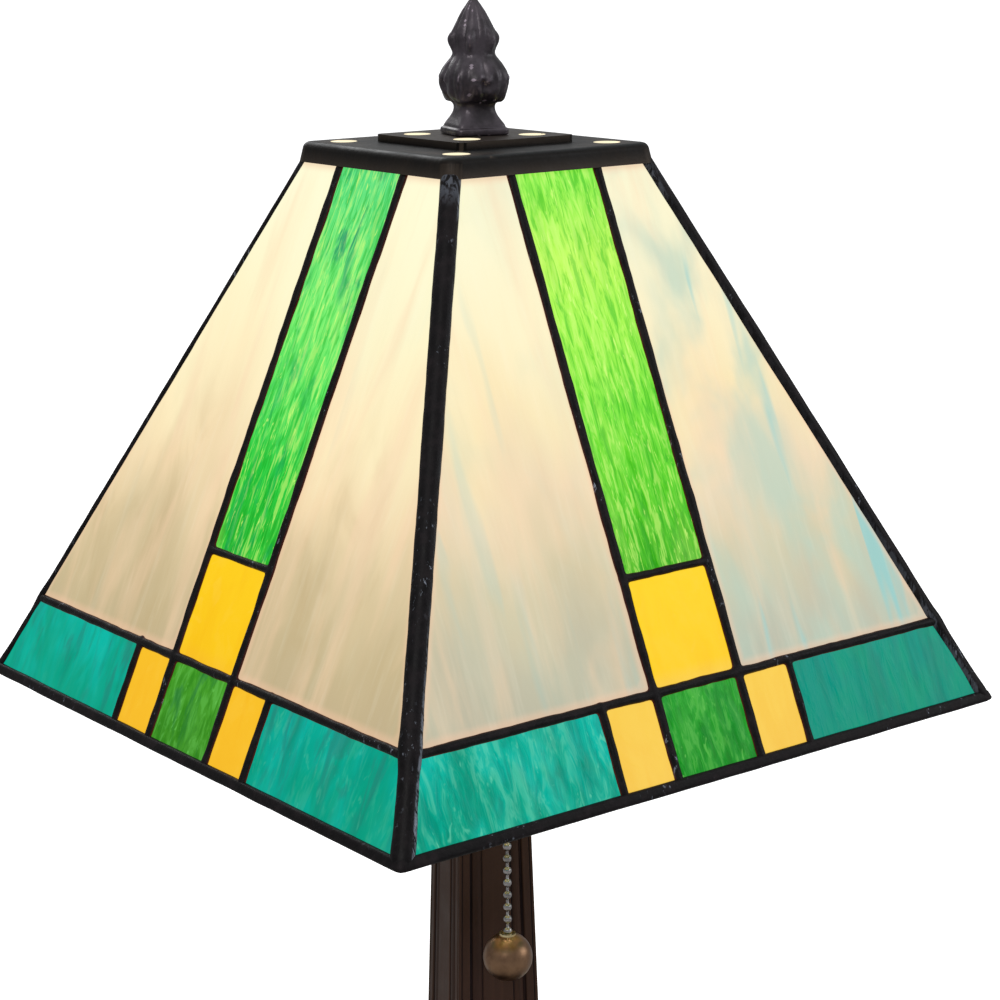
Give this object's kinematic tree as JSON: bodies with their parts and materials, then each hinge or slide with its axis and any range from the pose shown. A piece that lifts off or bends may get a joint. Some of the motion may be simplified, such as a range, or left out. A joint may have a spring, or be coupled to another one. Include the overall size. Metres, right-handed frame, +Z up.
{
  "type": "stained glass table lamp",
  "caption": "Table lamp with a four-sided leaded glass shade on a harp, a square fluted column on a stepped base, a pull-chain socket, a vented cap and a cast finial.",
  "frame": {"origin": "centre of the underside of the felt pad, on the table", "axes": "+Z up along the column, -Y towards the front; the shade is square to X and Y, and the base and column are turned 16 degrees clockwise from above against it, as the shade hangs turned on its swivel"},
  "size_m": [0.2048, 0.2048, 0.3729],
  "materials": {
    "felt": "short black-brown felt",
    "bronze_casting": "satin dark mahogany bronze paint",
    "bronze_finial": "satin dark bronze casting, rubbed on its high edges",
    "cap_bronze": "satin dark bronze plate on pressed sheet",
    "solder_patina": "semi-gloss black-brown patina on hand-run solder",
    "pipe_steel": "zinc plated",
    "weight_iron": "raw casting",
    "socket_brass": "aged satin brass plate",
    "contact_brass": "plain brass",
    "ferrule_brass": "bright brass",
    "harp_steel": "bronze tinted plate",
    "cord_insulation": "brown satin cord",
    "plug_plastic": "brown moulded plastic",
    "socket_phenolic": "black phenolic moulding",
    "liner_card": "brown insulating card",
    "chain_bronze": "dark antique bronze with bright highlights",
    "ball_bronze": "dark antique bronze, smooth",
    "bulb_glass": "inside-frosted glass",
    "bulb_stem_glass": "clear glass stem with a fine coil",
    "bulb_aluminium": "rolled screw cap",
    "glass_cream": "opalescent cream sheet glass with faint coloured streaks",
    "glass_green": "wispy ripple green sheet glass",
    "glass_band_green": "deep green sheet glass",
    "glass_amber": "amber opalescent sheet glass",
    "glass_teal": "streaky teal sheet glass"
  },
  "bodies": {
    "base": {"felt_pad": "felt", "base_plinth": "bronze_casting", "base_step": "bronze_casting", "column_foot": "bronze_casting", "column": "bronze_casting", "column_collar": "bronze_casting", "lamp_pipe": "pipe_steel", "base_weight": "weight_iron", "base_washer": "pipe_steel", "base_nut": "pipe_steel", "check_ring": "socket_brass", "neck_nut": "pipe_steel", "power_cord": "cord_insulation", "cord_bushing": "plug_plastic", "plug_body": "plug_plastic", "plug_blades": "contact_brass", "harp_saddle": "harp_steel", "harp_loop": "harp_steel", "socket_cap": "socket_brass", "socket_set_screw": "pipe_steel", "socket_shell": "socket_brass", "shell_liner": "liner_card", "socket_body": "socket_phenolic", "terminal_screws": "contact_brass", "screw_shell": "contact_brass", "centre_contact": "contact_brass", "chain_guide": "socket_brass", "lever_spring": "pipe_steel"},
    "harp_swivel": {"harp_stud": "harp_steel"},
    "shade": {"front_panel_leading": "solder_patina", "back_panel_leading": "solder_patina", "left_panel_leading": "solder_patina", "right_panel_leading": "solder_patina", "corner_seams": "solder_patina", "shade_rim": "solder_patina", "vented_cap": "cap_bronze", "cream_glass_left": "glass_cream", "cream_glass_right": "glass_cream", "green_glass_strip": "glass_green", "green_glass_square": "glass_band_green", "amber_glass_block": "glass_amber", "amber_glass_left": "glass_amber", "amber_glass_right": "glass_amber", "teal_glass_left": "glass_teal", "teal_glass_right": "glass_teal"},
    "finial_thread": {"finial_insert": "contact_brass"},
    "finial": {"finial": "bronze_finial"},
    "sleeve_left": {"harp_sleeve_left": "harp_steel"},
    "sleeve_right": {"harp_sleeve_right": "harp_steel"},
    "bulb_thread": {"bulb_tip": "contact_brass"},
    "bulb": {"bulb_cap": "bulb_aluminium", "bulb_envelope": "bulb_glass", "bulb_stem": "bulb_stem_glass"},
    "chain_pull": {"chain_top_bead": "chain_bronze"},
    "chain_swing": {"pull_chain": "chain_bronze", "pull_ball": "ball_bronze", "ball_ferrule": "ferrule_brass"},
    "chain_lead": {"chain_lead": "chain_bronze"},
    "switch_lever": {"switch_lever": "pipe_steel"},
    "switch_rotor": {"switch_rotor": "socket_phenolic"}
  },
  "joints": [
    {"name": "shade_swivel", "type": "hinge", "parent": "base", "child": "harp_swivel", "pos_m": [0, 0, 0.3305], "axis": [0, 0, 1], "continuous": true},
    {"name": "shade_lift", "type": "slide", "parent": "harp_swivel", "child": "shade", "axis": [0, 0, 1], "range_m": [0, 0.17]},
    {"name": "finial_rise", "type": "slide", "parent": "shade", "child": "finial_thread", "axis": [0, 0, 1], "range_m": [0, 0.00752]},
    {"name": "finial_turn", "type": "hinge", "parent": "finial_thread", "child": "finial", "pos_m": [0, 0, 0.34], "axis": [0, 0, 1], "range_deg": [0, 2880]},
    {"name": "sleeve_left_lift", "type": "slide", "parent": "base", "child": "sleeve_left", "axis": [0, 0, 1], "range_m": [0, 0.0095]},
    {"name": "sleeve_right_lift", "type": "slide", "parent": "base", "child": "sleeve_right", "axis": [0, 0, 1], "range_m": [0, 0.0095]},
    {"name": "bulb_rise", "type": "slide", "parent": "base", "child": "bulb_thread", "axis": [0, 0, 1], "range_m": [0, 0.01543]},
    {"name": "bulb_turn", "type": "hinge", "parent": "bulb_thread", "child": "bulb", "pos_m": [0, 0, 0.22], "axis": [0, 0, 1], "range_deg": [0, 1530]},
    {"name": "chain_pull", "type": "slide", "parent": "base", "child": "chain_pull", "axis": [0, 0, -1], "range_m": [0, 0.007], "stiffness_N_per_m": 250},
    {"name": "chain_swing", "type": "hinge", "parent": "chain_pull", "child": "chain_swing", "pos_m": [-0.01156, -0.0266, 0.20118], "axis": [-0.3987, -0.9171, 0], "range_deg": [-20, 20]},
    {"name": "lead_slide", "type": "slide", "parent": "base", "child": "chain_lead", "axis": [-0.3987, -0.9171, 0], "range_m": [0, 0.007]},
    {"name": "lever_swing", "type": "hinge", "parent": "base", "child": "switch_lever", "pos_m": [-0.00399, -0.00917, 0.19768], "axis": [0.9171, -0.3987, 0], "range_deg": [0, 47], "deforming": ["lever_spring"]},
    {"name": "rotor_step", "type": "hinge", "parent": "base", "child": "switch_rotor", "pos_m": [-0.00399, -0.00917, 0.19768], "axis": [0.9171, -0.3987, 0], "range_deg": [0, 90]}
  ],
  "couplings": [
    {"joint": "finial_turn", "follows": "finial_rise", "rad_per_m": 6684.2},
    {"joint": "bulb_turn", "follows": "bulb_rise", "rad_per_m": 1730.9},
    {"joint": "lead_slide", "follows": "chain_pull", "ratio": 1},
    {"joint": "lever_swing", "follows": "chain_pull", "rad_per_m": 117.19},
    {"joint": "rotor_step", "follows": "chain_pull", "rad_per_m": 224.4}
  ]
}
